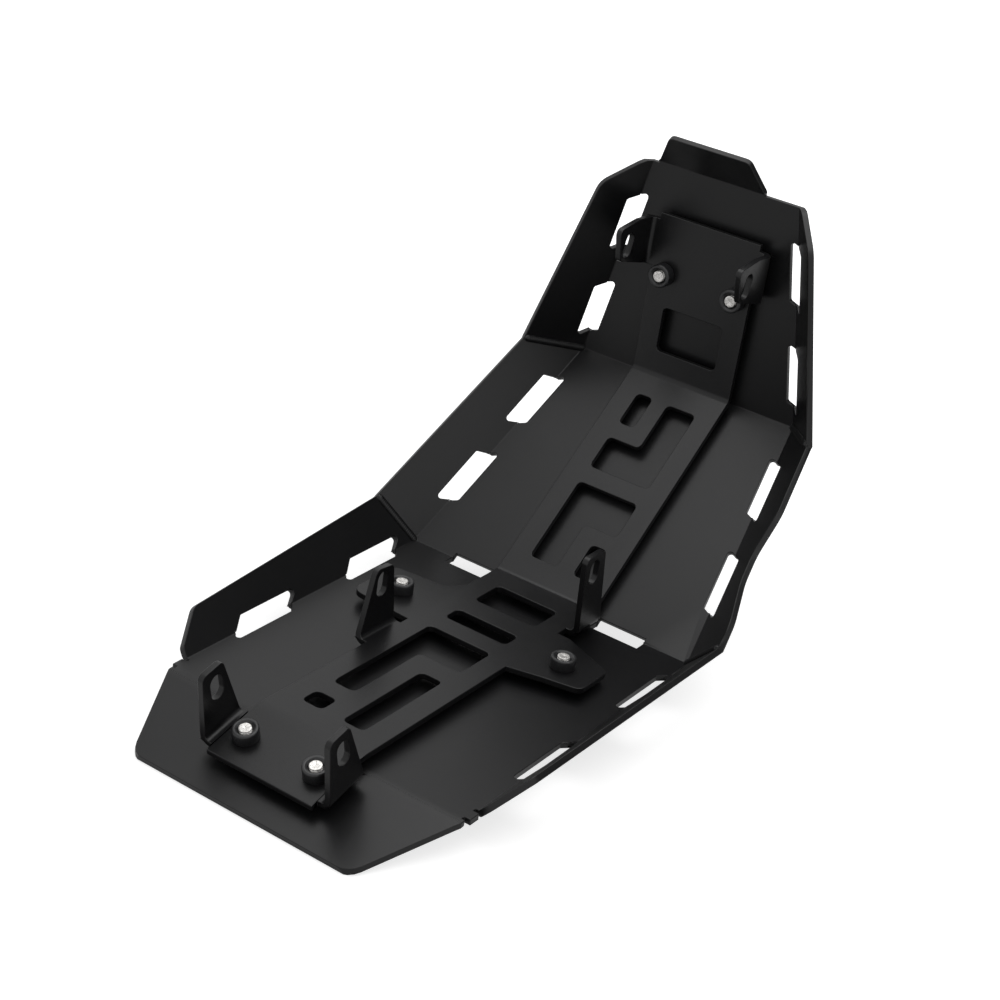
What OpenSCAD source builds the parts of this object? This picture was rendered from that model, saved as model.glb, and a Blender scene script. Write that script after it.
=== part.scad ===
// Skid plate for a motorcycle: a folded, corner-welded sheet shell with flared sides, and a folded
// mounting bracket held off it on spacers by six bolts. Millimetres, +Z up, +Y toward the upturned end.
// The floor of the shell is level. The origin is under the middle of the whole, at its lowest point.

/* [Sheet] */
// Thickness of the shell's sheet
sheet_t = 4; // [3:0.5:5]
// Thickness of the bracket's sheet
bracket_t = 4; // [3:0.5:5]
// Clear gap between shell and bracket, which the spacers fill
stand_off = 5; // [4:0.5:8]

/* [Floor and lip] */
// Length of the floor from the front bend to the fold below the incline
floor_len = 248; // [240:1:265]
// Width of the floor at the front bend
front_w = 214; // [200:1:230]
// Width of the floor at the rear fold
fold_w = 216; // [205:1:235]
// Length of the lip in front of the front bend
lip_len = 63; // [55:1:75]
// Width of the lip along its front edge, measured before its corners are rounded
lip_w = 156; // [130:1:180]
// How far the lip is bent down
lip_angle = 16; // [8:1:22]
// Radius of the lip's front corners
lip_corner_r = 13; // [6:1:20]
// Radius of the soft bend between floor and lip
lip_bend_r = 32; // [20:1:50]

/* [Incline and upright] */
// Angle of the incline above the floor
incline_angle = 38; // [32:1:44]
// Length of the incline along its slope
incline_len = 184.5; // [178:0.5:195]
// Width of the incline at its upper fold
incline_top_w = 167.5; // [155:0.5:180]
// Angle of the upright above the floor
upright_angle = 90; // [84:1:94]
// Height of the upright along its face
upright_len = 146; // [142:1:156]
// Width of the upright at its top
upright_top_w = 110; // [107:1:125]

/* [Side flanges] */
// How far the floor's flanges lean out from square to the floor
floor_flare = 41; // [35:1:46]
// How far the incline's flanges lean out from square to the incline
incline_flare = 39; // [34:1:44]
// How far the upright's flanges lean out from square to the upright
upright_flare = 37; // [32:1:42]
// Distance of the floor flange's start behind the front bend
flange_start = 16; // [14:1:20]
// Height of the floor flange at its front corner, along its face
front_flange_h = 26; // [20:1:32]
// Length of the weld seam where floor and incline flanges meet
low_seam = 41; // [36:1:44]
// Length of the weld seam where incline and upright flanges meet
high_seam = 47; // [42:1:50]
// Height of the upright flange at its upper corner, along its face
top_flange_h = 31.5; // [26:0.5:36]
// Depth of the shallow recess in the right incline flange
recess_depth = 12; // [6:1:14]

/* [Fold slots] */
// Length of the slots through the floor's fold lines
floor_slot_len = 54; // [44:0.5:56]
// Length of the slots through the incline's fold lines
incline_slot_len = 45; // [36:0.5:47]
// Length of the slots through the upright's fold lines
upright_slot_len = 40; // [32:0.5:42]
// Reach of a slot up the flange
slot_up = 8.5; // [6:0.5:10]
// Reach of a slot into the panel
slot_in = 5.5; // [4:0.5:7]

/* [Top tab] */
// Height of the tab folded forward from the upright's top edge
tab_h = 23.5; // [16:0.5:28]
// How far the tab leans forward of the upright
tab_lean = 30; // [15:1:40]
// Width of the tab at its fold
tab_w = 80; // [70:1:83]
// Distance of the tab's middle from the centre line, toward the left
tab_offset = 11; // [8:0.5:12]

/* [Bracket] */
// Width of the bracket's strip
strip_w = 76; // [72:1:82]
// Reach of the bracket's arms to each side of the centre line
arm_reach = 85; // [80:1:90]
// Reach of the bracket onto the lip
bracket_front = 43.5; // [40:0.5:47]
// Height of the bracket up the upright
bracket_top = 116.5; // [113:0.5:122]
// Width of the cut-outs' outline across the strip
window_w = 46; // [42:1:50]
// Inside radius of the bracket's cross bends
bend_r = 5; // [3:0.5:8]

/* [Ears] */
// Distance between the inner faces of a pair of ears
ear_gap = 86; // [86:0.5:90]
// Inside radius of the bend that turns an ear up
ear_bend_r = 3; // [2:0.5:4]
// Width of the slotted hole in each ear
ear_slot_w = 10; // [8:0.5:11]
// Length of the slotted hole in each ear
ear_slot_len = 17; // [13:0.5:18]

/* [Fasteners] */
// Diameter of the bolts
bolt_d = 8; // [6:0.5:8]
// Clearance of the bolt holes over the bolts
hole_play = 0.8; // [0.4:0.1:1.2]
// Distance of the floor bolts from the centre line
floor_bolt_x = 62; // [56:0.5:68]
// Distance of the lip bolts from the centre line
lip_bolt_x = 25.5; // [24:0.5:28]
// Distance of the upper bolts from the centre line
top_bolt_x = 27.5; // [26:0.5:29]
// Diameter of the round collar nuts
collar_d = 16; // [14:0.5:17]
// Height of the collar nuts
collar_h = 7.7; // [6:0.1:9]
// Diameter of the spacers
spacer_d = 16; // [14:0.5:18]
// Diameter of the low bolt heads
head_d = 14; // [12:0.5:15]
// Height of the low bolt heads
head_h = 4.4; // [3.6:0.1:5]
// Diameter of the washers
washer_d = 18; // [16:0.5:20]
// Thickness of the washers
washer_t = 1.6; // [1:0.1:2]

/* [Hidden] */
$fn = 48;

black = "#2b2b2d";
dark = "#1d1d1f";
steel = "#b9bcc0";

LIP = 0;
FLOOR = 1;
INCLINE = 2;
UPRIGHT = 3;
big = 900;
eps = 1;

function along(a) = [cos(a), sin(a)];
function square_to(a) = [-sin(a), cos(a)];
function unit(v) = v / norm(v);

// Side view: where the panels start on the sheet's upper face, as [Y, Z] from the fold below the incline
front_bend = [-floor_len, 0];
low_fold = [0, 0];
high_fold = incline_len * along(incline_angle);
ANGLE = [lip_angle, 0, incline_angle, upright_angle];
START = [front_bend, front_bend, low_fold, high_fold];
LENGTH = [lip_len, floor_len, incline_len, upright_len];
HALF_AT_START = [front_w / 2, front_w / 2, fold_w / 2, incline_top_w / 2];
FLARE = [0, floor_flare, incline_flare, upright_flare];
HALF_AT_END = [front_w / 2, fold_w / 2, incline_top_w / 2, upright_top_w / 2];

// Bolts as [panel, distance to the right of the centre line, distance along the panel]
lip_bolt_out = 23.5;
floor_bolt_back = 79;
top_bolt_up = 75.5;
BOLTS = [[LIP, -lip_bolt_x, -lip_bolt_out], [LIP, lip_bolt_x, -lip_bolt_out],
    [FLOOR, -floor_bolt_x, floor_len - floor_bolt_back], [FLOOR, floor_bolt_x, floor_len - floor_bolt_back],
    [UPRIGHT, -top_bolt_x, top_bolt_up], [UPRIGHT, top_bolt_x, top_bolt_up]];
hole_d = bolt_d + hole_play;
bracket_lo = stand_off;
bracket_hi = stand_off + bracket_t;

// The whole's lowest point is the lip's lower front edge, its rearmost the heads of the upper bolts
lowest = -lip_len * sin(lip_angle) - sheet_t * cos(lip_angle);
front_end = -floor_len - lip_len * cos(lip_angle);
head_depth = sheet_t + washer_t + head_h;
rear_end = max([for (s = [top_bolt_up - head_d / 2, top_bolt_up + head_d / 2])
    (high_fold + s * along(upright_angle) - head_depth * square_to(upright_angle))[0]]);
shift = [0, -(front_end + rear_end) / 2, -lowest];

module at_origin() { translate(shift) children(); }

// A panel's frame has local y along it toward the upturned end and local z out of its upper face
module on_panel(k) { translate([0, START[k][0], START[k][1]]) rotate([ANGLE[k], 0, 0]) children(); }

// The right flange's fold and frame: x along the fold, y up the flange, z outward
function fold_run(k) = [HALF_AT_END[k] - HALF_AT_START[k], LENGTH[k]];
function fold_len(k) = norm(fold_run(k));
function turn(k) = atan2(fold_run(k)[1], fold_run(k)[0]);
function run_dir(k) = [cos(turn(k)), sin(turn(k)) * cos(ANGLE[k]), sin(turn(k)) * sin(ANGLE[k])];
function side_dir(k) = [sin(turn(k)), -cos(turn(k)) * cos(ANGLE[k]), -cos(turn(k)) * sin(ANGLE[k])];
function face_dir(k) = [0, -sin(ANGLE[k]), cos(ANGLE[k])];
function rise_dir(k) = sin(FLARE[k]) * side_dir(k) + cos(FLARE[k]) * face_dir(k);
function outward(k) = cos(FLARE[k]) * side_dir(k) - sin(FLARE[k]) * face_dir(k);
function seam_dir(k) = unit(cross(outward(k), outward(k + 1)));
// Upper end of a seam of the given run as [x, y] in the frame of flange k
function seam_end(k, seam, run) = run * [seam_dir(seam) * run_dir(k), seam_dir(seam) * rise_dir(k)];
module on_fold(k) { on_panel(k) translate([HALF_AT_START[k], 0, 0]) rotate([0, 0, turn(k)]) children(); }
module on_flange(k) { on_fold(k) rotate([90 + FLARE[k], 0, 0]) children(); }
module both_sides() {
    children();
    mirror([1, 0, 0]) children();
}

// Polygon with each corner rounded to its own radius
function heading(v) = atan2(v[1], v[0]);
function arc_at(p, q, s, r, steps) =
    let (a = unit(p - q), b = unit(s - q), half = acos(a * b) / 2, c = q + unit(a + b) * r / sin(half))
    let (from = heading(q + a * r / tan(half) - c), to = heading(q + b * r / tan(half) - c))
    let (sweep = (to - from + 540) % 360 - 180)
    [for (i = [0:steps]) c + r * along(from + sweep * i / steps)];
function rounded(pts, radii, steps = 4) = let (n = len(pts))
    [for (i = [0:n - 1]) each radii[i] > 0
        ? arc_at(pts[(i + n - 1) % n], pts[i], pts[(i + 1) % n], radii[i], steps)
        : [pts[i]]];
function all_round(pts, r, steps = 4) = rounded(pts, [for (p = pts) r], steps);

// Outline of a panel from points [along its right fold, out from it], mirrored to the left
function edge_point(k, p) = let (f = turn(k), o = [sin(f), -cos(f)])
    [HALF_AT_START[k], 0] + p[0] * along(f) + p[1] * o;
function mirrored(pts) = [for (i = [len(pts) - 1:-1:0]) [-pts[i][0], pts[i][1]]];
function panel_outline(k, pts) = let (r = [for (p = pts) edge_point(k, p)]) concat(r, mirrored(r));

// Side view of a face at offset h from the upper face, from reach on the lip to top on the upright
function bend_corner(v, a, b, h) = v + h / cos((b - a) / 2) * square_to((a + b) / 2);
function face_line(h, reach, top) = [
    front_bend - reach * along(lip_angle) + h * square_to(lip_angle),
    bend_corner(front_bend, lip_angle, 0, h),
    bend_corner(low_fold, 0, incline_angle, h),
    bend_corner(high_fold, incline_angle, upright_angle, h),
    high_fold + top * along(upright_angle) + h * square_to(upright_angle)];
function reversed(v) = [for (i = [len(v) - 1:-1:0]) v[i]];
bend_steps = 8;
module across(w) { rotate([90, 0, 90]) translate([0, 0, -w / 2]) linear_extrude(w) children(); }

// Shell
// Overlap of neighbouring regions past their fold line, which the mitred tub then trims
mitre = 0.6 * sheet_t;
// Small cuts at the ends of the front bend, across the fold and into the floor
relief_w = 2.4;
relief_depth = 2;
// Between its two reliefs the floor stands out past the line of its folds
side_step = 2;
lip_tangent = lip_bend_r * tan(lip_angle / 2);
module half_space() { translate([-big, -big, -2 * big]) cube(2 * big); }
module tub(grow) {
    intersection() {
        on_panel(FLOOR) translate([0, 0, -grow]) mirror([0, 0, 1]) half_space();
        on_panel(INCLINE) translate([0, 0, -grow]) mirror([0, 0, 1]) half_space();
        on_panel(UPRIGHT) translate([0, 0, -grow]) mirror([0, 0, 1]) half_space();
        on_flange(FLOOR) translate([0, 0, grow]) half_space();
        on_flange(INCLINE) translate([0, 0, grow]) half_space();
        on_flange(UPRIGHT) translate([0, 0, grow]) half_space();
        mirror([1, 0, 0]) on_flange(FLOOR) translate([0, 0, grow]) half_space();
        mirror([1, 0, 0]) on_flange(INCLINE) translate([0, 0, grow]) half_space();
        mirror([1, 0, 0]) on_flange(UPRIGHT) translate([0, 0, grow]) half_space();
    }
}
module panel_region(k, pts) {
    on_panel(k) translate([0, 0, -2 * sheet_t]) linear_extrude(2 * sheet_t) polygon(panel_outline(k, pts));
}
module flange_region(k, pts) { on_flange(k) linear_extrude(2 * sheet_t) polygon(pts); }

low_on_floor = [fold_len(FLOOR), 0] + seam_end(FLOOR, FLOOR, low_seam);
low_on_incline = seam_end(INCLINE, FLOOR, low_seam);
high_on_incline = [fold_len(INCLINE), 0] + seam_end(INCLINE, INCLINE, high_seam);
high_on_upright = seam_end(UPRIGHT, INCLINE, high_seam);
// The front edge rises square from the fold, then slopes back to the upper corner
front_rise = [flange_start + 1.5, 7];
front_corner = [flange_start + 23.5, front_flange_h];
front_corner_r = 10;
front_rise_r = 5;
FLOOR_FLANGE = rounded([[flange_start, -mitre], [flange_start, 0], front_rise, front_corner,
    low_on_floor + [mitre, 0], [fold_len(FLOOR) + mitre, -mitre]],
    [0, 0, front_rise_r, front_corner_r, 0, 0]);
INCLINE_LOWER = [[-mitre, -mitre], low_on_incline - [mitre, 0]];
INCLINE_UPPER = [high_on_incline + [mitre, 0], [fold_len(INCLINE) + mitre, -mitre]];
// The recess in the right incline flange, between its two ends along the fold
recess = [22, 104];
recess_floor = [56, 77];
function incline_edge(u) = let (a = low_on_incline, b = high_on_incline)
    [u, a[1] + (b[1] - a[1]) * (u - a[0]) / (b[0] - a[0])];
RECESS = [incline_edge(recess[0]), incline_edge(recess_floor[0]) - [0, recess_depth],
    incline_edge(recess_floor[1]) - [0, recess_depth], incline_edge(recess[1])];
recess_r = 30;
LEFT_INCLINE = concat(INCLINE_LOWER, INCLINE_UPPER);
RIGHT_INCLINE = rounded(concat(INCLINE_LOWER, RECESS, INCLINE_UPPER), [0, 0, recess_r, recess_r, recess_r,
    recess_r, 0, 0]);
top_corner = [fold_len(UPRIGHT) - 22, top_flange_h];
top_corner_r = 14;
// The flange's upper edge comes down to the upright's corner through a second, lower bend in its outline
end_corner = [fold_len(UPRIGHT) - 3.5, 9];
end_corner_r = 10;
UPRIGHT_FLANGE = rounded([[-mitre, -mitre], high_on_upright - [mitre, 0], top_corner, end_corner,
    [fold_len(UPRIGHT) + mitre, 0], [fold_len(UPRIGHT) + mitre, -mitre]],
    [0, 0, top_corner_r, end_corner_r, 0, 0]);

module shell_regions() {
    panel_region(FLOOR, [[lip_tangent + relief_w / 6, side_step], [flange_start, side_step],
        [flange_start, mitre], [fold_len(FLOOR) + mitre, mitre]]);
    panel_region(INCLINE, [[-mitre, mitre], [fold_len(INCLINE) + mitre, mitre]]);
    both_sides() flange_region(FLOOR, FLOOR_FLANGE);
    intersection() {
        union() {
            panel_region(UPRIGHT, [[-mitre, mitre], [fold_len(UPRIGHT) + 2 * mitre, mitre]]);
            both_sides() flange_region(UPRIGHT, UPRIGHT_FLANGE);
        }
        on_panel(UPRIGHT) translate([-big / 2, upright_len - big, -big / 2]) cube(big);
    }
    flange_region(INCLINE, RIGHT_INCLINE);
    mirror([1, 0, 0]) flange_region(INCLINE, LEFT_INCLINE);
}

// Lip with its soft bend, cut to its tapering outline seen from above
lip_reach = lip_len * cos(lip_angle);
// The lip's root runs back past its bend, a little inside the floor's edge; the step is in the front relief
root_back = 3 * lip_tangent;
root_inset = 1;
LIP_SIDE = [for (p = [[root_back, -root_inset], [lip_tangent - relief_w / 6, -root_inset],
    [lip_tangent - relief_w / 6, 0], [0, 0]]) edge_point(FLOOR, p)];
LIP_HALF = concat(LIP_SIDE, [[lip_w / 2, -lip_reach]]);
root_y = -floor_len + LIP_SIDE[0][1];
LIP_PROFILE = [face_line(-sheet_t, lip_len, 0)[0], face_line(0, lip_len, 0)[0], front_bend, [root_y, 0],
    [root_y, -sheet_t], face_line(-sheet_t, lip_len, 0)[1]];
LIP_OUTLINE = rounded(concat(LIP_HALF, mirrored(LIP_HALF)),
    [0, 0, 0, 0, lip_corner_r, lip_corner_r, 0, 0, 0, 0]);
module lip() {
    intersection() {
        across(2 * front_w)
            polygon(rounded(LIP_PROFILE, [0, 0, lip_bend_r, 0, 0, lip_bend_r - sheet_t], bend_steps));
        translate([0, -floor_len, -big / 2]) linear_extrude(big) polygon(LIP_OUTLINE);
    }
}

// Weld bead along the inside corner of a seam, closing the corner at its foot
bead_r = 2;
module bead(k, run) {
    top = seam_end(k, k, run);
    on_flange(k) translate([fold_len(k), 0, 0]) rotate([0, 0, heading(top)]) {
        rotate([0, 90, 0]) cylinder(h = run - bead_r, r = bead_r);
        sphere(bead_r);
        translate([run - bead_r, 0, 0]) sphere(bead_r);
    }
}

// Tab at the top of the upright, folded forward off the centre line
tab_mitre = sheet_t * tan(tab_lean / 2);
tab_foot = 1;
tab_taper = 10;
tab_corner_r = 5;
tab_left = -tab_offset - tab_w / 2;
tab_right = -tab_offset + tab_w / 2;
module tab() {
    on_panel(UPRIGHT) translate([0, upright_len + tab_foot, 0]) {
        translate([tab_left, -2 * tab_foot, -sheet_t]) cube([tab_w, 2 * tab_foot + tab_mitre, sheet_t]);
        rotate([tab_lean, 0, 0]) translate([0, 0, -sheet_t]) linear_extrude(sheet_t)
            polygon(rounded([[tab_left, -tab_mitre], [tab_right, -tab_mitre], [tab_right, 0],
                [tab_right - tab_taper, tab_h], [tab_left + tab_taper, tab_h], [tab_left, 0]],
                [0, 0, 0, tab_corner_r, tab_corner_r, 0]));
    }
}

// A slot through a fold line, slanted, with its ends meeting on the flange and on the panel
slot_r = 2;
// How far a slot's upper edge is shifted along the fold from its lower edge
FLOOR_SLANT = 17;
INCLINE_SLANT = -9.6;
UPRIGHT_SLANT = -8.5;
// Where the slots start along their folds
FLOOR_SLOTS = [54.5, 165.5];
INCLINE_SLOTS = [41, 115.5];
UPRIGHT_SLOTS = [17.5, 86.5];
// Near the fold the flange's cut is a little narrower than the panel's, which clears the corner
slot_lap = 0.3;
module fold_slot(k, from, run, slant) {
    at_fold = from + slant * slot_in / (slot_up + slot_in);
    on_flange(k) translate([0, 0, -slot_lap]) linear_extrude(2 * sheet_t)
        polygon(slot_half(at_fold + 2 * slot_lap, run - 4 * slot_lap, from + slant, run, slot_up));
    on_fold(k) translate([0, 0, -2 * sheet_t]) linear_extrude(2 * sheet_t + slot_lap)
        polygon(slot_half(at_fold, run, from, run, slot_in));
}
function slot_half(at_fold, fold_run, at_end, end_run, reach) = rounded([
    [at_fold, -mitre], [at_fold, 0], [at_end, reach],
    [at_end + end_run, reach], [at_fold + fold_run, 0], [at_fold + fold_run, -mitre]],
    [0, 0, slot_r, slot_r, 0, 0]);

// Slots through the fold below the incline, one on each side of the bracket
cross_slot = [40, 75.5];
cross_slot_front = 8.5;
cross_slot_rear = 3.5;
module cross_slots() {
    w = cross_slot[1] - cross_slot[0];
    deep = 2 * sheet_t;
    both_sides() {
        translate([cross_slot[0], -cross_slot_front, -deep]) cube([w, cross_slot_front + eps, deep + eps]);
        on_panel(INCLINE) translate([cross_slot[0] + slot_lap, -mitre, -deep])
            cube([w - 2 * slot_lap, mitre + cross_slot_rear, deep + eps]);
    }
}
// Small reliefs at the end of the front bend and at the start of the flange's fold
RELIEFS = [lip_tangent - relief_w / 2, flange_start + 0.5 - relief_w];
module relief(at) {
    on_fold(FLOOR) translate([at, -3 * mitre, -2 * sheet_t])
        cube([relief_w, 3 * mitre + relief_depth, 3 * sheet_t]);
}

module bolt_holes() {
    for (b = BOLTS) on_panel(b[0]) translate([b[1], b[2], -2 * sheet_t])
        cylinder(h = 2 * sheet_t + bracket_hi + eps, d = hole_d);
}

module skid_shell() {
    color(black) at_origin() difference() {
        union() {
            intersection() {
                difference() {
                    tub(sheet_t);
                    tub(0);
                }
                union() shell_regions();
            }
            lip();
            tab();
            both_sides() {
                bead(FLOOR, low_seam);
                bead(INCLINE, high_seam);
            }
        }
        both_sides() {
            for (at = FLOOR_SLOTS) fold_slot(FLOOR, at, floor_slot_len, FLOOR_SLANT);
            for (at = INCLINE_SLOTS) fold_slot(INCLINE, at, incline_slot_len, INCLINE_SLANT);
            for (at = UPRIGHT_SLOTS) fold_slot(UPRIGHT, at, upright_slot_len, UPRIGHT_SLANT);
            for (at = RELIEFS) relief(at);
        }
        cross_slots();
        bolt_holes();
    }
}

// Bracket
half_strip = strip_w / 2;
half_window = window_w / 2;
window_r = 3.5;
STRIP = rounded(
    concat(face_line(bracket_hi, bracket_front, bracket_top),
        reversed(face_line(bracket_lo, bracket_front, bracket_top))),
    [0, lip_bend_r + bracket_hi, bend_r, bend_r, 0,
     0, bend_r + bracket_t, bend_r + bracket_t, lip_bend_r + bracket_lo, 0], bend_steps);
module strip() { across(strip_w) polygon(STRIP); }
module floor_sheet(pts) { translate([0, 0, bracket_lo]) linear_extrude(bracket_t) polygon(pts); }
// Arms seen from above, from the strip's edge out to the floor bolts and back, with the radius of each corner
inside = half_strip - eps;
RIGHT_ARM = [[inside, -105], [half_strip, -105], [60, -99], [arm_reach, -93.5], [arm_reach, -63],
    [47, -46], [inside, -46]];
RIGHT_ARM_R = [0, 0, 20, 6, 5, 0, 0];
LEFT_ARM = [[-inside, -38], [-half_strip, -38], [-46, -51.5], [-arm_reach, -55], [-arm_reach, -100.5],
    [-half_strip, -104], [-inside, -104]];
LEFT_ARM_R = [0, 0, 9, 6, 8, 0, 0];
module arms() {
    floor_sheet(rounded(RIGHT_ARM, RIGHT_ARM_R));
    floor_sheet(rounded(LEFT_ARM, LEFT_ARM_R));
}
module cut(k, pts, r = window_r) {
    on_panel(k) translate([0, 0, bracket_lo - eps]) linear_extrude(bracket_t + 2 * eps)
        polygon(all_round(pts, r));
}
// Cut-outs of each panel, from the front, lined up on the sides of one outline
module window(k, x0, x1, y0, y1) { cut(k, [[x0, y0], [x1, y0], [x1, y1], [x0, y1]]); }
module windows() {
    w = half_window;
    translate([0, floor_len, 0]) {
        window(FLOOR, -w, w, -51, -23.5);
        window(FLOOR, -w, w, -84, -69.5);
        cut(FLOOR, [[-w, -198], [-7.5, -198], [-7.5, -133], [w, -133], [w, -100], [-w, -100]]);
        window(FLOOR, 7, w - 1, -227.5, -150);
        window(FLOOR, -w, -8.5, -227.5, -213);
    }
    window(INCLINE, -w, -11, 136, 162);
    cut(INCLINE, [[-w, 97.5], [w, 97.5], [w, 161.5], [1, 161.5], [1, 123], [-w, 123]]);
    cut(INCLINE, [[-w, 20.5], [-2, 20.5], [-2, 56.5], [w, 56.5], [w, 84], [-w, 84]]);
    window(INCLINE, 11, w, 20, 45);
    window(UPRIGHT, -w, w, 21.5, 53);
}

// An ear in side view, as [along the panel, out from it], with its slotted hole at [along, out]
LIP_EAR = [[-38.5, bracket_hi], [-34, 53], [-16.5, 53], [-8, bracket_hi]];
LIP_EAR_HOLE = [-23.7, 38.6];
LEFT_EAR = [[-147, bracket_hi], [-137, 52.8], [-119.5, 51], [-111.5, bracket_hi]];
LEFT_EAR_HOLE = [-129.8, 41];
RIGHT_EAR = [[-36.4, bracket_hi], [-41.7, 63.4], [-19.3, 63.4], [-13, 26], [-10, bracket_hi]];
RIGHT_EAR_HOLE = [-30, 51];
TOP_EAR = [[79, bracket_hi], [80, 14.6], [87, 44.5], [110, 51], [113, 26], [112, bracket_hi]];
TOP_EAR_HOLE = [97, 37];
top_hole_lean = 75;
ear_reach = 80;
ear_corner_r = 4;
ear_x = ear_gap / 2;
bend_x = ear_x - ear_bend_r;
bend_n = bracket_hi + ear_bend_r;
module ear_section(h) {
    translate([half_strip - eps, bracket_lo]) square([bend_x - half_strip + eps, bracket_t]);
    intersection() {
        translate([bend_x, bend_n]) difference() {
            circle(ear_bend_r + bracket_t);
            circle(ear_bend_r);
        }
        translate([bend_x, bracket_lo]) square(ear_bend_r + bracket_t);
    }
    translate([ear_x, bend_n]) square([bracket_t, h - bend_n]);
}
module ear(k, outline, at, lean) {
    n = len(outline);
    foot = bracket_lo - eps;
    shape = concat([[outline[0][0], foot]], outline, [[outline[n - 1][0], foot]]);
    radii = [for (p = shape) p[1] > 3 * bracket_hi ? ear_corner_r : 0];
    on_panel(k) difference() {
        intersection() {
            rotate([90, 0, 0]) translate([0, 0, -big / 2]) linear_extrude(big) ear_section(ear_reach);
            rotate([90, 0, 90]) linear_extrude(big) polygon(rounded(shape, radii));
        }
        translate([ear_x - eps, at[0], at[1]]) rotate([lean, 0, 0]) rotate([0, 90, 0]) obround();
    }
}
// Slotted hole with its length along the first local axis
module obround() {
    half = (ear_slot_len - ear_slot_w) / 2;
    for (s = [-half, half]) translate([s, 0, 0]) cylinder(h = bracket_t + 2 * eps, d = ear_slot_w);
    translate([-half, -ear_slot_w / 2, 0]) cube([2 * half, ear_slot_w, bracket_t + 2 * eps]);
}

module mounting_bracket() {
    color(black) at_origin() difference() {
        union() {
            strip();
            arms();
            both_sides() ear(LIP, LIP_EAR, LIP_EAR_HOLE, 0);
            mirror([1, 0, 0]) translate([0, floor_len, 0]) ear(FLOOR, LEFT_EAR, LEFT_EAR_HOLE, 0);
            translate([0, floor_len, 0]) ear(FLOOR, RIGHT_EAR, RIGHT_EAR_HOLE, 0);
            both_sides() ear(UPRIGHT, TOP_EAR, TOP_EAR_HOLE, top_hole_lean);
        }
        windows();
        bolt_holes();
    }
}

// Fasteners, each in the frame of its own bolt with z up out of the panel
tip = bracket_hi + collar_h;
// Clearance between a bolt and the bore of its collar nut
thread_play = 0.2;
dome_r = 0.62 * head_d;
socket_depth = 0.6 * head_h;
socket_d = 0.72 * bolt_d;
module at_bolt(i) {
    b = BOLTS[i - 1];
    at_origin() on_panel(b[0]) translate([b[1], b[2], 0]) children();
}
module ring(from, h, d, bore) {
    translate([0, 0, from]) difference() {
        cylinder(h = h, d = d);
        translate([0, 0, -eps]) cylinder(h = h + 2 * eps, d = bore);
    }
}
module bolt(i) {
    under = -sheet_t - washer_t;
    color(steel) at_bolt(i) difference() {
        union() {
            translate([0, 0, under]) cylinder(h = tip - under, d = bolt_d);
            intersection() {
                translate([0, 0, under - head_h]) cylinder(h = head_h, d = head_d);
                translate([0, 0, under - head_h + dome_r]) sphere(dome_r);
            }
        }
        translate([0, 0, under - head_h - eps]) cylinder(h = socket_depth + eps, d = socket_d, $fn = 6);
    }
}
module washer(i) { color(steel) at_bolt(i) ring(-sheet_t - washer_t, washer_t, washer_d, hole_d); }
module spacer(i) { color(dark) at_bolt(i) ring(0, stand_off, spacer_d, hole_d); }
module collar_nut(i) { color(dark) at_bolt(i) ring(bracket_hi, collar_h, collar_d, bolt_d + thread_play); }

skid_shell();
mounting_bracket();
bolt(1);  // bolt_1
bolt(2);  // bolt_2
bolt(3);  // bolt_3
bolt(4);  // bolt_4
bolt(5);  // bolt_5
bolt(6);  // bolt_6
washer(1);  // washer_1
washer(2);  // washer_2
washer(3);  // washer_3
washer(4);  // washer_4
washer(5);  // washer_5
washer(6);  // washer_6
spacer(1);  // spacer_1
spacer(2);  // spacer_2
spacer(3);  // spacer_3
spacer(4);  // spacer_4
spacer(5);  // spacer_5
spacer(6);  // spacer_6
collar_nut(1);  // collar_nut_1
collar_nut(2);  // collar_nut_2
collar_nut(3);  // collar_nut_3
collar_nut(4);  // collar_nut_4
collar_nut(5);  // collar_nut_5
collar_nut(6);  // collar_nut_6
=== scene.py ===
# %% [markdown]
# # A motorcycle skid plate
# The real thing is two pieces of 4 mm steel sheet, cut, folded, welded at four corners and powder coated
# black: a shell that takes the knocks, and a bracket that stands off it on spacers and carries the ears
# that bolt to the frame. Six bolts hold the two together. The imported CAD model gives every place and
# size, in metres. This lesson gives each piece the edges, threads, welds and finish that the eye expects.

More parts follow.
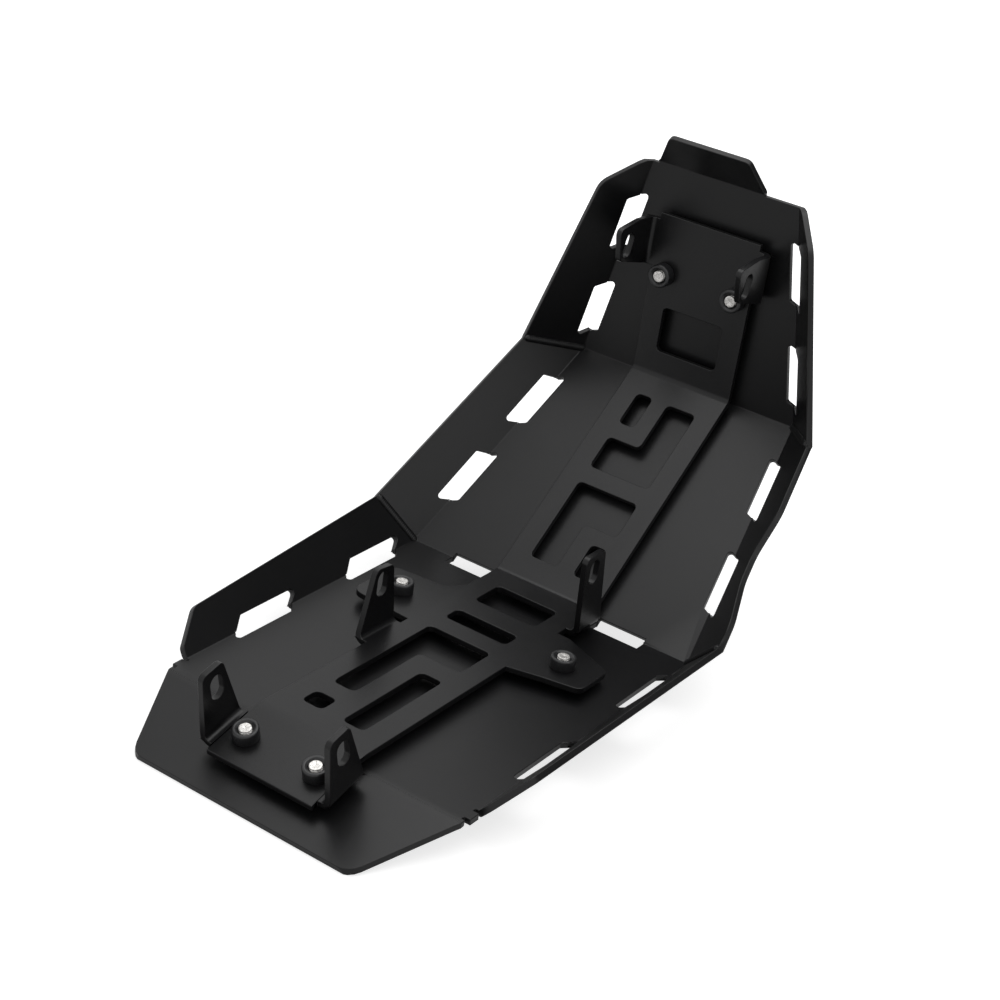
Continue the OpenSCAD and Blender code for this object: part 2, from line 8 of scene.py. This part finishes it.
import math
import bpy
import bmesh
import numpy as np
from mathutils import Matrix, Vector


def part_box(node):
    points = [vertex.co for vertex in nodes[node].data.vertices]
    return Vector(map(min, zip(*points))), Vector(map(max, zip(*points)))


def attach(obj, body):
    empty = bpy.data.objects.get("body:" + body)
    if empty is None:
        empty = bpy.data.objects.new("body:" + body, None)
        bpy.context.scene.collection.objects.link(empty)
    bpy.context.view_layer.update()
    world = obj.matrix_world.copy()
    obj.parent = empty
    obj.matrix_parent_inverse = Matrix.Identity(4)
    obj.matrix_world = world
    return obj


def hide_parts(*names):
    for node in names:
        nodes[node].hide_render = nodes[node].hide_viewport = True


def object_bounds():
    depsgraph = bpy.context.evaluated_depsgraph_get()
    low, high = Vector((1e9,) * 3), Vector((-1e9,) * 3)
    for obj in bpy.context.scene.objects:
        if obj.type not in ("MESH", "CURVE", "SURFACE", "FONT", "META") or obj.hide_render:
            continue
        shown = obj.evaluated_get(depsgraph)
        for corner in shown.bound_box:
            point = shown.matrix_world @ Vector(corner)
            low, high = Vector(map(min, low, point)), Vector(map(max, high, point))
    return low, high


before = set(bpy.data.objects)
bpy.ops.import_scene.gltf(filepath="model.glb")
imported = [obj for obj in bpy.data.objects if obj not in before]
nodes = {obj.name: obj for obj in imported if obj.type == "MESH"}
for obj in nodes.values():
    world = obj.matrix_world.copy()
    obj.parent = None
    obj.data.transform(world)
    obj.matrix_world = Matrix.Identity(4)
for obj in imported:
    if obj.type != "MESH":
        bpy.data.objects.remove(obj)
MM = 0.001


def corners(box):
    """Two corners of a box as plain lists of numbers."""
    return [[float(v) for v in c] for c in box]


cad_box = corners(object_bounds())
print("CAD nodes:", len(nodes), "box:", cad_box)

# %% [markdown]
# ## The camera
# The photograph looks down from the front right. A camera was fitted to its straight folds and slots, and
# these are that camera's place, turn and lens. It stands about 1.3 m from the plate with a lens such as
# portraits are taken with, so that near and far ends keep their proportions. The small shift is part of
# the fit: the picture's middle lies a little off the lens's axis.

# %% Place the camera
CAMERA_AT = (0.579, -0.995414, 0.674210)
CAMERA_TURN = (1.120713, -0.133870, 0.618767)
LENS_MM = 75.526
SENSOR_MM = 36.0
LENS_SHIFT = (0.04825, -0.01453)
CLIP_END = 20.0
camera_data = bpy.data.cameras.new("camera")
camera_data.lens = LENS_MM
camera_data.sensor_width = SENSOR_MM
camera_data.shift_x, camera_data.shift_y = LENS_SHIFT
camera_data.clip_end = CLIP_END
camera = bpy.data.objects.new("camera", camera_data)
bpy.context.scene.collection.objects.link(camera)
camera.location = CAMERA_AT
camera.rotation_euler = CAMERA_TURN
bpy.context.scene.camera = camera
ahead = camera.rotation_euler.to_matrix() @ Vector((0, 0, -1))
print("camera looks along", tuple(round(v, 3) for v in ahead))

# %% [markdown]
# ## Colours and nodes
# A colour is written as it is seen on a screen, in hex, and a renderer adds up light in linear numbers.
# One function turns one into the other. A second small function adds any node with its settings and
# links, so that each material below reads as a short recipe.


# %% Helpers for materials
def linear(hex_colour):
    """Linear RGBA of an sRGB hex: a channel c becomes c/12.92 near black, else ((c+0.055)/1.055)^2.4."""
    c = np.array([int(hex_colour[i : i + 2], 16) for i in (1, 3, 5)]) / 255
    low = c <= 0.04045
    c = np.where(low, c / 12.92, ((c + 0.055) / 1.055) ** 2.4)
    return tuple(c) + (1.0,)


def add(tree, kind, links=(), **settings):
    """Adds a node; settings are its properties or sockets, links are (socket, source, source socket)."""
    n = tree.nodes.new(kind)
    for key, value in settings.items():
        if hasattr(n, key):
            setattr(n, key, value)
        else:
            n.inputs[key.replace("_", " ")].default_value = value
    for socket, source, out in links:
        tree.links.new(source.outputs[out], n.inputs[socket])
    return n


def new_material(name):
    """A node material with its tree and its surface shader."""
    m = bpy.data.materials.new(name)
    m.use_nodes = True
    tree = m.node_tree
    return m, tree, tree.nodes["Principled BSDF"]


def dress(tree, skin, tone, gloss, relief):
    """Links a colour ramp, a roughness range and a bump to the surface shader."""
    tree.links.new(tone.outputs["Color"], skin.inputs["Base Color"])
    tree.links.new(gloss.outputs["Result"], skin.inputs["Roughness"])
    tree.links.new(relief.outputs["Normal"], skin.inputs["Normal"])


def per_metre(size_mm):
    """Scale for a noise on Object coordinates, so that one of its cells is size_mm wide."""
    return 1.0 / (size_mm * MM)


# %% [markdown]
# ## Powder coat
# Powder coat is sprayed on as dry polyester powder and baked, and a fine-textured black one is what such
# plates wear. It gives the eye a near-black satin skin: a grain of about half a millimetre breaks the
# reflections up, and a slow swell of a few millimetres, left by the melting powder, makes broad soft
# changes of tone. The black itself drifts between two close tones over a few centimetres.

# %% Make the two powder coats
GRAIN_MM = 0.45
SWELL_MM = 5.0
CLOUD_MM = 45.0
GRAIN_DEPTH = 0.05 * MM
SWELL_DEPTH = 0.03 * MM
NOISE_LOW = 0.3
NOISE_HIGH = 0.7


def powder_coat(name, dark, pale, rough):
    """Satin powder coat: colour between two blacks on slow noise, roughness and bump on fine noise."""
    m, tree, skin = new_material(name)
    place = add(tree, "ShaderNodeTexCoord")
    on_piece = [("Vector", place, "Object")]
    grain = add(tree, "ShaderNodeTexNoise", on_piece, Scale=per_metre(GRAIN_MM), Detail=2.0, Roughness=0.55)
    swell = add(tree, "ShaderNodeTexNoise", on_piece, Scale=per_metre(SWELL_MM), Detail=2.0)
    cloud = add(tree, "ShaderNodeTexNoise", on_piece, Scale=per_metre(CLOUD_MM), Detail=3.0)
    tone = add(tree, "ShaderNodeValToRGB", [("Fac", cloud, "Fac")])
    for stop, position, colour in zip(tone.color_ramp.elements, (NOISE_LOW, NOISE_HIGH), (dark, pale)):
        stop.position = position
        stop.color = linear(colour)
    gloss = add(tree, "ShaderNodeMapRange", [("Value", grain, "Fac")], From_Min=NOISE_LOW,
                From_Max=NOISE_HIGH, To_Min=rough - 0.05, To_Max=rough + 0.06)
    fine = add(tree, "ShaderNodeBump", [("Height", grain, "Fac")], Strength=0.22, Distance=GRAIN_DEPTH)
    broad = add(tree, "ShaderNodeBump", [("Height", swell, "Fac"), ("Normal", fine, "Normal")],
                Strength=0.25, Distance=SWELL_DEPTH)
    dress(tree, skin, tone, gloss, broad)
    skin.inputs["Metallic"].default_value = 0.0
    skin.inputs["IOR"].default_value = 1.5
    skin.inputs["Specular IOR Level"].default_value = 0.30
    return m


shell_coat = powder_coat("black_powder_coat_on_shell", "#0c0c0d", "#101011", 0.34)
bracket_coat = powder_coat("black_powder_coat_on_bracket", "#0d0d0e", "#121213", 0.32)
print("powder coats:", shell_coat.name, bracket_coat.name)

# %% [markdown]
# ## Zinc and black oxide
# The bolts and washers are zinc plated steel, bright, with fine marks from the plating barrel. The collar
# nuts and spacers are black oxide steel: thinner than paint, so their turned faces still catch the light.

# %% Make the fastener metals
MARK_DEPTH = 0.06 * MM
WORN_AT = 0.35
BRIGHT_AT = 0.6


def turned_metal(name, bright, worn, metallic, rough, mark_mm):
    """Metal with fine marks: a noise of mark_mm drives colour, roughness and a shallow bump."""
    m, tree, skin = new_material(name)
    place = add(tree, "ShaderNodeTexCoord")
    marks = add(tree, "ShaderNodeTexNoise", [("Vector", place, "Object")], Scale=per_metre(mark_mm),
                Detail=4.0, Roughness=0.65)
    tone = add(tree, "ShaderNodeValToRGB", [("Fac", marks, "Fac")])
    for stop, position, colour in zip(tone.color_ramp.elements, (WORN_AT, BRIGHT_AT), (worn, bright)):
        stop.position = position
        stop.color = linear(colour)
    gloss = add(tree, "ShaderNodeMapRange", [("Value", marks, "Fac")], From_Min=NOISE_LOW,
                From_Max=NOISE_HIGH, To_Min=rough + 0.12, To_Max=rough - 0.05)
    relief = add(tree, "ShaderNodeBump", [("Height", marks, "Fac")], Strength=0.35, Distance=MARK_DEPTH)
    dress(tree, skin, tone, gloss, relief)
    skin.inputs["Metallic"].default_value = metallic
    return m


zinc_plate = turned_metal("bright_zinc_plate_on_steel", "#e8e6e3", "#a3a19e", 1.0, 0.42, 0.8)
black_oxide = turned_metal("black_oxide_on_turned_steel", "#1d1d1f", "#141415", 0.0, 0.38, 0.6)
print("fastener metals:", zinc_plate.name, black_oxide.name)

# %% [markdown]
# ## The two folded sheets
# A sheet that has been cut by laser or shear keeps crisp faces, but its edges are broken by hand and
# filled by the coat to a radius of about half a millimetre. That small round is what draws the thin
# bright lines along the photograph's cut-outs. The CAD faces are already right, so a copy of each sheet
# is merged into one skin, its flat faces are joined, and a bevel rounds the sharp edges only. The bevel's
# clamp stays off, because the shortest edge of a cut-out would hold every round back to its own length.

# %% Round the edges of the shell and the bracket
EDGE_ROUND = 0.5 * MM
EDGE_STEPS = 2
SHARP_FROM = math.radians(28)
FLAT_BELOW = math.radians(0.4)
MERGE_WITHIN = 2e-6


def coated_sheet(node, name, material):
    """Copy of a CAD sheet: doubles merged, flat triangles joined, edges past SHARP_FROM bevelled."""
    mesh = nodes[node].data.copy()
    mesh.name = name
    work = bmesh.new()
    work.from_mesh(mesh)
    bmesh.ops.remove_doubles(work, verts=work.verts, dist=MERGE_WITHIN)
    bmesh.ops.dissolve_limit(work, angle_limit=FLAT_BELOW, verts=work.verts, edges=work.edges)
    work.to_mesh(mesh)
    work.free()
    mesh.materials.clear()
    mesh.materials.append(material)
    mesh.polygons.foreach_set("use_smooth", np.ones(len(mesh.polygons), bool))
    mesh.set_sharp_from_angle(angle=SHARP_FROM)
    piece = bpy.data.objects.new(name, mesh)
    bpy.context.scene.collection.objects.link(piece)
    bevel = piece.modifiers.new("edge_round", "BEVEL")
    bevel.width = EDGE_ROUND
    bevel.segments = EDGE_STEPS
    bevel.limit_method = "ANGLE"
    bevel.angle_limit = SHARP_FROM
    bevel.harden_normals = True
    bevel.use_clamp_overlap = False
    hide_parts(node)
    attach(piece, "root")
    print(name, "faces before the bevel:", len(mesh.polygons))
    return piece


shell = coated_sheet("skid_shell", "skid_shell_coated", shell_coat)
bracket = coated_sheet("mounting_bracket", "mounting_bracket_coated", bracket_coat)

# %% [markdown]
# ## Turned pieces
# Bolts, nuts, spacers and washers are turned: a profile spun round an axis. On a grid of two parameters,
# one runs along the profile and the other round the axis. A radius may also change with the turn, which
# is all that a thread or a hexagon socket needs.

# %% Helpers for turned pieces
SMOOTH_TO = math.radians(35)


def unit(way):
    """The same direction with length one."""
    return way / np.linalg.norm(way)


def ring_centre(node):
    """Centre of a node's box. A plain ring's box is centred on the ring, however it is tilted."""
    low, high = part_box(node)
    return (np.array(low) + np.array(high)) / 2


def mesh_object(name, points, faces, material):
    """A mesh object from an array of points and a list of faces, smooth where they meet gently."""
    mesh = bpy.data.meshes.new(name)
    mesh.from_pydata(points.tolist(), [], faces)
    mesh.materials.append(material)
    mesh.polygons.foreach_set("use_smooth", np.ones(len(mesh.polygons), bool))
    mesh.set_sharp_from_angle(angle=SMOOTH_TO)
    mesh.update()
    piece = bpy.data.objects.new(name, mesh)
    bpy.context.scene.collection.objects.link(piece)
    return piece


def grid_faces(rows, columns, closed_rows=False):
    """Quads between rows of points that each close on themselves, row after row."""
    i = np.arange(rows if closed_rows else rows - 1)[:, None]
    j = np.arange(columns)[None, :]
    next_i = (i + 1) % rows
    next_j = (j + 1) % columns
    quads = [i * columns + j, i * columns + next_j, next_i * columns + next_j, next_i * columns + j]
    return np.stack(quads, -1).reshape(-1, 4).tolist()


def spin(name, heights, radii, foot, axis, material, closed=False, side=(1.0, 0.0, 0.0), squash=1.0):
    """Surface of revolution: point = foot + height * axis + radius * (cos t * u + squash * sin t * v).
    v is the given side made square to the axis, and u is square to both. A squash under 1 flattens it.
    radii has a row for each height and a column for each turn. An open profile starts and ends at a
    pole, which gets one point and a fan; a closed one joins its last row to its first."""
    rows, columns = radii.shape
    t = np.linspace(0, 2 * np.pi, columns, endpoint=False)
    axis = unit(axis)
    u = unit(np.cross(side, axis))
    v = np.cross(axis, u)
    round_the_axis = np.cos(t)[:, None] * u + squash * np.sin(t)[:, None] * v
    points = foot + heights[:, None, None] * axis + radii[..., None] * round_the_axis
    points = points.reshape(-1, 3)
    faces = grid_faces(rows, columns, closed)
    if not closed:
        poles = np.stack([foot + heights[0] * axis, foot + heights[-1] * axis])
        points = np.concatenate([points, poles])
        first_pole = np.full(columns, rows * columns)
        j = np.arange(columns)
        next_j = (j + 1) % columns
        last = (rows - 1) * columns
        faces += np.stack([first_pole, next_j, j], -1).tolist()
        faces += np.stack([first_pole + 1, last + j, last + next_j], -1).tolist()
    return mesh_object(name, points, faces, material)


# %% [markdown]
# ## Weld beads
# Where two flanges meet at a fold, a gap is left when the sheet is cut, and a welder closes it from the
# inside with one run. The puddle freezes in crescents about 1.5 mm apart, and the run ends in a round
# crater. Under the coat it shows as a soft raised strip. The seam's line follows from the folds: it is
# the line in which the planes of the two flanges meet, so the cross product of their normals. Lengths
# here are in millimetres, and the floor's rear fold is found from the lowest, foremost corner of the
# shell's box, which is the lip's front edge.

# %% Sizes of the folds and the welds
SHEET = 4.0
LIP_LEN = 63.0
LIP_SLOPE = math.radians(16.0)
FLOOR_LEN = 248.0
INCLINE_LEN = 184.5
INCLINE_SLOPE = math.radians(38.0)
UPRIGHT_LEN = 146.0
UPRIGHT_SLOPE = math.radians(90.0)
FLARES = [math.radians(a) for a in (41.0, 39.0, 37.0)]
HALF_WIDTHS = [107.0, 108.0, 83.75, 55.0]
PANELS = [(0.0, FLOOR_LEN), (INCLINE_SLOPE, INCLINE_LEN), (UPRIGHT_SLOPE, UPRIGHT_LEN)]
WELD_RUNS = [40.6, 46.6]
WELD_START = -2.0
WELD_HALF_WIDTH = 2.8
WELD_FLATNESS = 0.8
WELD_SIDES = 32
RIPPLE = 1.5
RIPPLE_HEIGHT = 0.018
RIPPLE_BEND = 0.55
ROWS_PER_RIPPLE = 8
END_CAP_FLOOR = 0.01

lip_edge = np.array(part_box("skid_shell")[0]) / MM
rear_fold = np.array([0.0, lip_edge[1] + LIP_LEN * math.cos(LIP_SLOPE) + FLOOR_LEN,
                      lip_edge[2] + LIP_LEN * math.sin(LIP_SLOPE) + SHEET * math.cos(LIP_SLOPE)])
incline_rise = INCLINE_LEN * np.array([0.0, math.cos(INCLINE_SLOPE), math.sin(INCLINE_SLOPE)])
FOLDS = [rear_fold, rear_fold + incline_rise]
print("folds in mm:", [np.round(f, 3).tolist() for f in FOLDS])


# %% Lay the four welds
def flange_normal(k):
    """Outward normal of the right flange of panel k, from the panel's slope, taper and flare."""
    slope, length = PANELS[k]
    taper = math.atan2(length, HALF_WIDTHS[k + 1] - HALF_WIDTHS[k])
    across = math.cos(taper)
    side = np.array([math.sin(taper), -across * math.cos(slope), -across * math.sin(slope)])
    face = np.array([0.0, -math.sin(slope), math.cos(slope)])
    return math.cos(FLARES[k]) * side - math.sin(FLARES[k]) * face


def weld(name, k, sign):
    """Bead along a seam: radius = half width * cap(s) * (1 + ripple), the ripple bent into crescents.
    sign is 1 for the right side and -1 for its mirror image on the left."""
    flip = np.array([sign, 1.0, 1.0])
    low, high = flange_normal(k), flange_normal(k + 1)
    seam = unit(np.cross(low, high))
    inward = -unit(low + high)
    foot = FOLDS[k] + (HALF_WIDTHS[k + 1], 0.0, 0.0)
    run = WELD_RUNS[k]
    s = np.linspace(WELD_START, run, int(run / RIPPLE * ROWS_PER_RIPPLE))
    t = np.linspace(0, 2 * np.pi, WELD_SIDES, endpoint=False)
    ends = np.clip(np.minimum(s - WELD_START, run - s) / WELD_HALF_WIDTH, 0.0, 1.0)
    cap = np.sqrt(np.clip(1 - (1 - ends) ** 2, END_CAP_FLOOR, 1))
    phase = 2 * np.pi * (s[:, None] / RIPPLE + RIPPLE_BEND * np.cos(t)[None, :] ** 2)
    radii = WELD_HALF_WIDTH * cap[:, None] * (1 + RIPPLE_HEIGHT * np.cos(phase))
    piece = spin(name, s * MM, radii * MM, foot * flip * MM, seam * flip, shell_coat,
                 side=inward * flip, squash=WELD_FLATNESS)
    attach(piece, "root")
    return piece


for sign, hand in ((1.0, "right"), (-1.0, "left")):
    weld(f"lower_weld_{hand}", 0, sign)
    weld(f"upper_weld_{hand}", 1, sign)
seams = [unit(np.cross(flange_normal(k), flange_normal(k + 1))) for k in (0, 1)]
print("seam directions:", [np.round(s, 3).tolist() for s in seams])

# %% [markdown]
# ## Rings: washers, spacers and collar nuts
# Each ring is a closed profile of heights and radii in millimetres. The washers are stamped, so one side
# is rounded over and the other has a faint sharp rim. The spacers are cut from bar with small chamfers.
# The collar nuts are tall, with a chamfer outside and a wide countersink round the thread, and that
# countersink is the dark ring round each bright bolt end in the photograph.

# %% Turn the rings
BOLTS = range(1, 7)
TURN_STEPS = 96
WASHER_T = 1.6
WASHER = [(0.0, 4.5), (0.15, 4.4), (WASHER_T, 4.4), (WASHER_T, 8.75), (1.52, 8.9), (1.35, 9.0), (0.25, 9.0),
          (0.0, 8.8)]
SPACER = [(0.0, 4.7), (0.3, 4.4), (4.7, 4.4), (5.0, 4.7), (5.0, 7.55), (4.87, 7.87), (4.6, 8.0), (0.4, 8.0),
          (0.13, 7.87), (0.0, 7.55)]
COLLAR = [(0.0, 4.5), (0.4, 4.1), (5.7, 4.1), (7.45, 5.75), (7.6, 5.95), (7.7, 6.2), (7.7, 7.05),
          (7.6, 7.35), (7.42, 7.62), (6.95, 7.93), (6.5, 8.0), (0.4, 8.0), (0.13, 7.87), (0.0, 7.55)]


def turned_rows(profile):
    """Heights and radii of a profile whose radius is the same all round."""
    p = np.array(profile)
    return p[:, 0], np.repeat(p[:, 1:2], TURN_STEPS, axis=1)


def turned_ring(node, name, profile, axis, material):
    """A closed ring with its middle at the CAD ring's middle."""
    heights, radii = turned_rows(profile)
    foot = ring_centre(node) - axis * heights.max() / 2 * MM
    piece = spin(name, heights * MM, radii * MM, foot, axis, material, closed=True)
    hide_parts(node)
    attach(piece, "root")
    return piece


axes = {}
for i in BOLTS:
    axes[i] = unit(ring_centre(f"collar_nut_{i}") - ring_centre(f"washer_{i}"))
    turned_ring(f"washer_{i}", f"washer_{i}_stamped", WASHER, axes[i], zinc_plate)
    turned_ring(f"spacer_{i}", f"spacer_{i}_turned", SPACER, axes[i], black_oxide)
    turned_ring(f"collar_nut_{i}", f"collar_nut_{i}_turned", COLLAR, axes[i], black_oxide)
print("bolt directions:", {i: np.round(a, 3).tolist() for i, a in axes.items()})

# %% [markdown]
# ## Bolts with threads
# An M8 bolt has a pitch of 1.25 mm. The thread is one ridge that climbs as it turns, so on the grid the
# radius depends on height divided by pitch minus the turn: equal values of that are one helix. It fades
# in above the plain shank and stops before the end chamfer. The low domed head, seen from under the
# plate, has a hexagon socket: the radius of a hexagon is its half width across flats divided by the
# cosine of the angle from the nearest flat.

# %% Sizes of the bolts
BOLT_R = 4.0
PITCH = 1.25
THREAD_DEPTH = 0.62
THREAD_FADE = 2.0
RIDGE_POWER = 1.3
ROWS_PER_PITCH = 8
CORE_R = BOLT_R - THREAD_DEPTH
HEAD_H = 4.4
HEAD_R = 7.0
PLAIN_SHANK = 6.0
SHANK_END = HEAD_H + 22.3
CHAMFER = 0.9
SOCKET_DEPTH = 2.6
SOCKET_FLAT = 2.5
SOCKET = [(SOCKET_DEPTH, 0.94), (SOCKET_DEPTH - 0.12, 1.0), (0.35, 1.0)]
SOCKET_FLOOR = [(SOCKET_DEPTH, 0.15)]
SOCKET_RIM = [(0.05, 3.15), (0.0, 3.4)]
DOME_ROWS = 9
DOME_START = 0.02
DOME_FALL = 2.9
DOME_INNER_R = 3.6
DOME_WIDTH = 3.25
DOME_ARC = 0.97
DOME_ARC_FALL = 0.757
HEAD_SIDE = [(3.2, HEAD_R - 0.06), (HEAD_H - 0.5, HEAD_R), (HEAD_H - 0.12, HEAD_R - 0.1),
             (HEAD_H, HEAD_R - 0.45), (HEAD_H, BOLT_R + 0.4), (HEAD_H + 0.4, BOLT_R)]
POINT = [(SHANK_END - 0.6, CORE_R + 0.55), (SHANK_END - 0.12, CORE_R + 0.42),
         (SHANK_END - 0.02, CORE_R + 0.30), (SHANK_END, CORE_R + 0.1), (SHANK_END, 1.6),
         (SHANK_END - 0.12, 0.9), (SHANK_END - 0.16, 0.15)]


# %% Turn the bolts
def hexagon_socket(turn):
    """Rows of the socket: radius = share * half width across flats / cos(angle from the nearest flat)."""
    from_flat = (turn + np.pi / 6) % (np.pi / 3) - np.pi / 6
    p = np.array(SOCKET)
    return p[:, 0], p[:, 1:2] * SOCKET_FLAT / np.cos(from_flat)


def dome():
    """Rows of the head's dome: height = start + fall * (1 - sqrt(1 - (arc * d)^2)) / the arc's own fall."""
    d = np.linspace(0, 1, DOME_ROWS)
    fall = DOME_FALL * (1 - np.sqrt(1 - (DOME_ARC * d) ** 2)) / DOME_ARC_FALL
    return turned_rows(np.stack([DOME_START + fall, DOME_INNER_R + DOME_WIDTH * d], 1))


def thread(turn):
    """Rows of the thread: radius = bolt radius - depth * ridge^power, ridge = (1 - cos(phase)) / 2."""
    heights = np.arange(HEAD_H + PLAIN_SHANK, SHANK_END - CHAMFER, PITCH / ROWS_PER_PITCH)
    fade = np.clip((heights - heights[0]) / THREAD_FADE, 0, 1)
    ridge = 0.5 - 0.5 * np.cos(2 * np.pi * heights[:, None] / PITCH - turn)
    return heights, BOLT_R - fade[:, None] * THREAD_DEPTH * ridge**RIDGE_POWER


def bolt_surface():
    """Heights and radii of one bolt in millimetres from the top of its head, socket floor to point."""
    turn = np.linspace(0, 2 * np.pi, TURN_STEPS, endpoint=False)
    parts = [turned_rows(SOCKET_FLOOR), hexagon_socket(turn), turned_rows(SOCKET_RIM), dome(),
             turned_rows(HEAD_SIDE), thread(turn), turned_rows(POINT)]
    return np.concatenate([p[0] for p in parts]), np.concatenate([p[1] for p in parts])


heights, radii = bolt_surface()
for i in BOLTS:
    head_top = ring_centre(f"washer_{i}") - axes[i] * (WASHER_T / 2 + HEAD_H) * MM
    bolt = spin(f"bolt_{i}_threaded", heights * MM, radii * MM, head_top, axes[i], zinc_plate)
    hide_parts(f"bolt_{i}")
    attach(bolt, "root")
print("bolt grid:", radii.shape, "length in mm:", round(float(heights.max()), 2))

# %% [markdown]
# ## Floor and background
# The photograph is a cut-out on white with a faint shadow. A plain pale floor catches that shadow, and a
# glow that only the camera and mirrored rays see lifts the floor to white, more so far from the plate.
# A mirrored ray sees 0.4 of the glow, because with all of it the upright end would shine like the floor.

# %% Build the floor
FLOOR_Z = cad_box[0][2]
FLOOR_HALF = 6.0
GLOW_STARTS = 0.30
GLOW_FULL = 0.80
GLOW_NEAR = 0.73
GLOW_FAR = 1.0
GLOW_MIRRORED = 0.4
WHITE = linear("#ffffff")


def background_rays(tree):
    """The Light Path node, and a factor of 1 for the rays that see the background as it is."""
    path = add(tree, "ShaderNodeLightPath")
    seen = add(tree, "ShaderNodeMath", [(0, path, "Is Camera Ray"), (1, path, "Is Transmission Ray")],
               operation="MAXIMUM")
    return path, seen


floor_paint, tree, skin = new_material("plain_white_floor")
skin.inputs["Base Color"].default_value = linear("#c4c4c4")
skin.inputs["Roughness"].default_value = 0.9
skin.inputs["Specular IOR Level"].default_value = 0.0
place = add(tree, "ShaderNodeTexCoord")
reach = add(tree, "ShaderNodeVectorMath", [(0, place, "Object")], operation="LENGTH")
far = add(tree, "ShaderNodeMapRange", [("Value", reach, "Value")], interpolation_type="SMOOTHSTEP",
          From_Min=GLOW_STARTS, From_Max=GLOW_FULL, To_Min=GLOW_NEAR, To_Max=GLOW_FAR)
path, seen = background_rays(tree)
mirrored = add(tree, "ShaderNodeMath", [(0, path, "Is Glossy Ray")], operation="MULTIPLY")
mirrored.inputs[1].default_value = GLOW_MIRRORED
shown = add(tree, "ShaderNodeMath", [(0, seen, 0), (1, mirrored, 0)], operation="MAXIMUM")
strength = add(tree, "ShaderNodeMath", [(0, far, "Result"), (1, shown, 0)], operation="MULTIPLY")
glow = add(tree, "ShaderNodeEmission", [("Strength", strength, 0)], Color=WHITE)
both = add(tree, "ShaderNodeAddShader", [(0, skin, 0), (1, glow, 0)])
tree.links.new(both.outputs[0], tree.nodes["Material Output"].inputs["Surface"])
corner = FLOOR_HALF * np.array([(-1, -1, 0), (1, -1, 0), (1, 1, 0), (-1, 1, 0)])
floor = mesh_object("studio_floor", corner + (0, 0, FLOOR_Z), [(0, 1, 2, 3)], floor_paint)
print("floor at height", FLOOR_Z)

# %% [markdown]
# ## Light
# A large soft lamp overhead and a weaker one at the right light the plate, and the world fills the rest.
# The world is white to the camera and in reflections, except toward the back right, where it is dim: the
# photograph's left flanges mirror that side, and they are its darkest faces.

# %% Light the plate
DIM_SIDE = (0.6, 0.8, 0.0)
DIM_STARTS = 0.1
DIM_FULL = 0.8
WORLD_BRIGHT = 0.6
WORLD_DIM = 0.1
world = bpy.data.worlds.new("soft_studio")
bpy.context.scene.world = world
world.use_nodes = True
tree = world.node_tree
tree.nodes.clear()
place = add(tree, "ShaderNodeTexCoord")
aside = add(tree, "ShaderNodeVectorMath", [(0, place, "Object")], operation="DOT_PRODUCT")
aside.inputs[1].default_value = DIM_SIDE
level = add(tree, "ShaderNodeMapRange", [("Value", aside, "Value")], interpolation_type="SMOOTHSTEP",
            From_Min=DIM_STARTS, From_Max=DIM_FULL, To_Min=WORLD_BRIGHT, To_Max=WORLD_DIM)
share = add(tree, "ShaderNodeMapRange", [("Value", aside, "Value")], interpolation_type="SMOOTHSTEP",
            From_Min=DIM_STARTS, From_Max=DIM_FULL, To_Min=1.0, To_Max=0.0)
path, seen = background_rays(tree)
mirrored = add(tree, "ShaderNodeMath", [(0, share, "Result"), (1, path, "Is Glossy Ray")],
               operation="MULTIPLY")
shown = add(tree, "ShaderNodeMath", [(0, seen, 0), (1, mirrored, 0)], operation="MAXIMUM")
soft = add(tree, "ShaderNodeBackground", [("Strength", level, "Result")], Color=WHITE)
white = add(tree, "ShaderNodeBackground", Color=WHITE, Strength=1.0)
mixed = add(tree, "ShaderNodeMixShader", [(0, shown, 0), (1, soft, 0), (2, white, 0)])
add(tree, "ShaderNodeOutputWorld", [("Surface", mixed, 0)])


def soft_lamp(name, place, aim, width, depth, power):
    """A rectangular area lamp at place, turned to shine at aim."""
    data = bpy.data.lights.new(name, "AREA")
    data.shape = "RECTANGLE"
    data.size = width
    data.size_y = depth
    data.energy = power
    lamp = bpy.data.objects.new(name, data)
    bpy.context.scene.collection.objects.link(lamp)
    lamp.location = place
    lamp.rotation_euler = (Vector(aim) - Vector(place)).to_track_quat("-Z", "Y").to_euler()
    return lamp


soft_lamp("overhead_lamp", place=(0.15, 0.32, 1.35), aim=(0.15, 0.32, 0), width=1.7, depth=1.25, power=11.7)
soft_lamp("right_lamp", place=(1.7, 0.0, 0.80), aim=(0, 0, 0.15), width=1.2, depth=1.0, power=3.2)
scene = bpy.context.scene
scene.view_settings.view_transform = "Standard"
